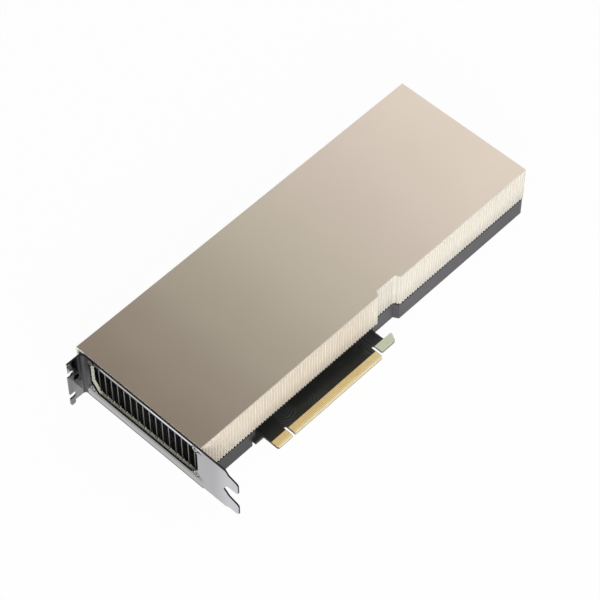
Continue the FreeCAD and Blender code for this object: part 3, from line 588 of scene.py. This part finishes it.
def makeScrews():
    # A lathe with a sunken cross. Along u the profile runs from the head's middle to its rim,
    # over a small round edge, down the cone and the shank, and closes at the tip; v goes once
    # round. The depth gains recessDepth times a smooth cross, which is full where the nearer of
    # the two axes is closer than slot and the middle is closer than recessReach.
    own = screwLook
    low, high = (np.array(corner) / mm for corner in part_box("bracket_screws"))
    end = high[0] - low[0] - own["tipShort"]
    flat = np.linspace(0, own["head"] - own["edge"], own["over"])
    turn = np.linspace(0, math.pi / 2, own["edgeSteps"] + 1)[1:]
    radius = np.concatenate([flat, flat[-1] + own["edge"] * np.sin(turn),
                             [own["shank"], own["shank"], own["shank"] * own["tipShare"], 0]])
    depth = np.concatenate([flat * 0, own["edge"] * (1 - np.cos(turn)),
                            [own["cone"], end - own["tipLong"], end, end]])
    v = np.arange(own["around"]) * 2 * math.pi / own["around"]
    r, angle = np.meshgrid(radius, v, indexing="ij")
    a, b = r * np.cos(angle), r * np.sin(angle)

    def fall(value, edge, soft):
        # 1 below the edge, 0 above it
        return 1 / (1 + np.exp((value - edge) / soft))

    cross = (fall(np.minimum(np.abs(a), np.abs(b)), own["slot"], own["slotSoft"])
             * fall(r, own["recessReach"], own["reachSoft"]))
    d = depth[:, None] + own["recessDepth"] * cross * (depth[:, None] == 0)
    rows, columns = r.shape
    i, j = np.meshgrid(np.arange(rows - 1), np.arange(columns), indexing="ij")
    k = (j + 1) % columns
    quads = np.stack([i * columns + j, i * columns + k, (i + 1) * columns + k,
                      (i + 1) * columns + j], -1).reshape(-1, 4)
    points, faces = [], []
    for y in (low[1] + own["nodeHead"], high[1] - own["nodeHead"]):
        for z in (low[2] + own["nodeHead"], high[2] - own["nodeHead"]):
            faces.append(quads + len(points) * r.size)
            points.append(np.stack([low[0] + own["gap"] + d, y + a, z + b], -1).reshape(-1, 3))
    mesh = bpy.data.meshes.new("bracketScrewHeads")
    mesh.from_pydata((np.concatenate(points) * mm).tolist(), [], np.concatenate(faces).tolist())
    bm = bmesh.new()
    bm.from_mesh(mesh)
    bmesh.ops.remove_doubles(bm, verts=bm.verts, dist=1e-7)
    bmesh.ops.recalc_face_normals(bm, faces=bm.faces)
    bm.to_mesh(mesh)
    bm.free()
    piece = bpy.data.objects.new("bracketScrewHeads", mesh)
    scene.collection.objects.link(piece)
    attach(piece, "root")
    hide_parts("bracket_screws")
    look = Finish("screwBrightZinc")
    scratch = look.noise(own["scratch"], 3, 0.6)
    # the cross recess is painted near-black, as the shade inside it
    sunk = look.span(look.axis("X"), *(float(low[0] + deep) * mm for deep in own["recessDepths"]))
    zinc = look.blend(look.vary(scratch), own["bright"], own["dullZincAndPaintedShading"])
    look.plain(Base_Color=look.blend(sunk, zinc, own["recess"]), Metallic=1.0,
               Roughness=look.vary(scratch, *own["roughness"]))
    look.bump(scratch, 0.1, 0.00002)
    dress(look, piece)


makeScrews()
print("screws made")

# Board: dark mask with faint traces, bare laminate at the hook, dark cut edges.
boardLook = {
    "mask": srgb(34, 35, 33), "trace": srgb(56, 60, 61), "laminate": srgb(214, 219, 194),
    "edge": srgb(20, 21, 19), "hookEdge": srgb(120, 122, 108), "strip": srgb(204, 172, 102),
    "stripTip": srgb(232, 216, 166), "tipY": (2.6, 0.2),
    "hookX": 132.0, "hookY": 8.5, "stripY": 5.75,       # where hook and contact strip begin or end
    "swirlMiddle": (66, 16, 0), "swirlScale": 190, "swirlBend": 11, "swirlDetail": 1.5,
    "swirlFine": 0.6, "patch": 0.016, "weave": 0.0008, "weaveShare": 0.95,
    "maskRoughness": 0.42, "traceRoughness": 0.5, "sheen": 0.35,
}


def dressBoard():
    own = boardLook
    look = Finish("boardSolderMask")
    x, y = look.axis("X"), look.axis("Y")
    top = look.math("GREATER_THAN", look.facing("Z"), 0.5)
    hook = look.product(look.math("GREATER_THAN", x, cardPoint(own["hookX"], 0, 0).x),
                        look.math("LESS_THAN", y, cardPoint(0, own["hookY"], 0).y))
    strip = look.product(look.opposite(hook),
                         look.math("LESS_THAN", y, cardPoint(0, own["stripY"], 0).y))
    masked = look.opposite(look.larger(hook, strip))
    # traces: rings round one place, bent by noise, in patches
    swirl = look.add("ShaderNodeTexWave", wave_type="RINGS", rings_direction="SPHERICAL")
    place = look.add("ShaderNodeMapping")
    place.inputs["Location"].default_value = -cardPoint(*own["swirlMiddle"])
    look.join(look.place, place.inputs["Vector"])
    look.join(place.outputs["Vector"], swirl.inputs["Vector"])
    for socket, value in (("Scale", own["swirlScale"]), ("Distortion", own["swirlBend"]),
                          ("Detail", own["swirlDetail"]), ("Detail Scale", own["swirlFine"])):
        swirl.inputs[socket].default_value = value
    patches = look.span(look.noise(own["patch"], 2), 0.47, 0.56)
    lines = look.product(look.span(swirl.outputs["Fac"], 0.5, 0.75), patches, masked)
    mask = look.blend(lines, own["mask"], own["trace"])
    weave = look.span(look.noise(own["weave"], 2), 0.35, 0.65)
    bare = look.blend(weave, own["laminate"], shaded(own["laminate"], own["weaveShare"]))
    tip = look.blend(look.run("Y", *own["tipY"]), own["strip"], own["stripTip"])
    face = look.blend(strip, look.blend(hook, mask, bare), tip)
    cut = look.blend(hook, own["edge"], own["hookEdge"])
    look.plain(Base_Color=look.blend(top, cut, face), Specular_IOR_Level=own["sheen"],
               Roughness=look.between(lines, own["maskRoughness"], own["traceRoughness"]))
    look.bump(lines, 0.3, 0.00003)
    dress(look, "board")


dressBoard()

# Contacts: gold, paler towards the free edge.
goldLook = {
    "colour": (0.95, 0.755, 0.38), "tip": (1.0, 0.92, 0.66), "tipY": (3.0, 0.3),
    "wipe": 0.0012, "wipeShare": 0.96, "patch": 0.012, "patchMost": 0.35,
    "metal": 0.4, "roughness": (0.28, 0.36),
}


def dressContacts():
    own = goldLook
    look = Finish("contactGold")
    wipe = look.noise(own["wipe"], 3, 0.6, look.stretched(1, 0.2, 1))
    gold = look.blend(look.vary(wipe), own["colour"], shaded(own["colour"], own["wipeShare"]))
    # soft pale patches lie along the row too
    patch = look.span(look.noise(own["patch"], 1), 0.4, 0.65, 0.0, own["patchMost"])
    pale = look.larger(look.run("Y", *own["tipY"]), patch)
    look.plain(Base_Color=look.blend(pale, gold, own["tip"]), Metallic=own["metal"],
               Roughness=look.vary(wipe, *own["roughness"]))
    dress(look, "contacts_top", "contacts_under")


dressContacts()
print("board dressed")

# Inner pieces: finish, colour, roughness, metal share, grain in metres, nodes.
innerLook = [
    ("finAluminium", (0.62, 0.62, 0.63), 0.35, 1.0, 0.0015, ("fin_stack",)),
    ("spreaderCopper", (0.72, 0.42, 0.30), 0.35, 1.0, 0.002, ("heat_spreader",)),
    ("substrateGreen", srgb(52, 92, 58), 0.5, 0.0, 0.001, ("package_substrate",)),
    ("ringNickel", (0.6, 0.6, 0.6), 0.35, 1.0, 0.001, ("package_ring",)),
    ("dieSilicon", (0.10, 0.10, 0.12), 0.12, 0.2, 0.004, ("processor_die", "memory_stacks")),
    ("chokeFerrite", srgb(62, 62, 62), 0.6, 0.0, 0.0006, ("chokes",)),
    ("padGrey", srgb(150, 160, 172), 0.85, 0.0, 0.0008, ("choke_pads", "back_pad")),
    ("chipEpoxy", srgb(38, 38, 38), 0.55, 0.0, 0.0005, ("power_stages", "controller_chips")),
    ("capacitorEpoxy", srgb(120, 100, 62), 0.5, 0.0, 0.0008, ("capacitors",)),
    ("socketNylon", srgb(30, 30, 31), 0.45, 0.0, 0.0008, ("power_socket",)),
    ("pinTin", (0.72, 0.70, 0.64), 0.25, 1.0, 0.0006, ("power_pins",)),
    ("screwZinc", (0.55, 0.55, 0.56), 0.3, 1.0, 0.0006, ("sink_screws",)),
    ("standoffBrass", (0.72, 0.60, 0.34), 0.3, 1.0, 0.0008, ("sink_standoffs",)),
]


def dressInner():
    # colour, gloss and surface all vary with one noise
    for name, colour, roughness, metallic, grain, names in innerLook:
        look = Finish(name)
        mottled = look.noise(grain, 3, 0.6)
        look.plain(Base_Color=look.blend(look.vary(mottled), colour, shaded(colour, 0.82)),
                   Metallic=metallic,
                   Roughness=look.vary(mottled, roughness - 0.06, roughness + 0.06))
        look.bump(mottled, 0.2, 0.00003)
        dress(look, *names)


dressInner()
print("inner pieces dressed")
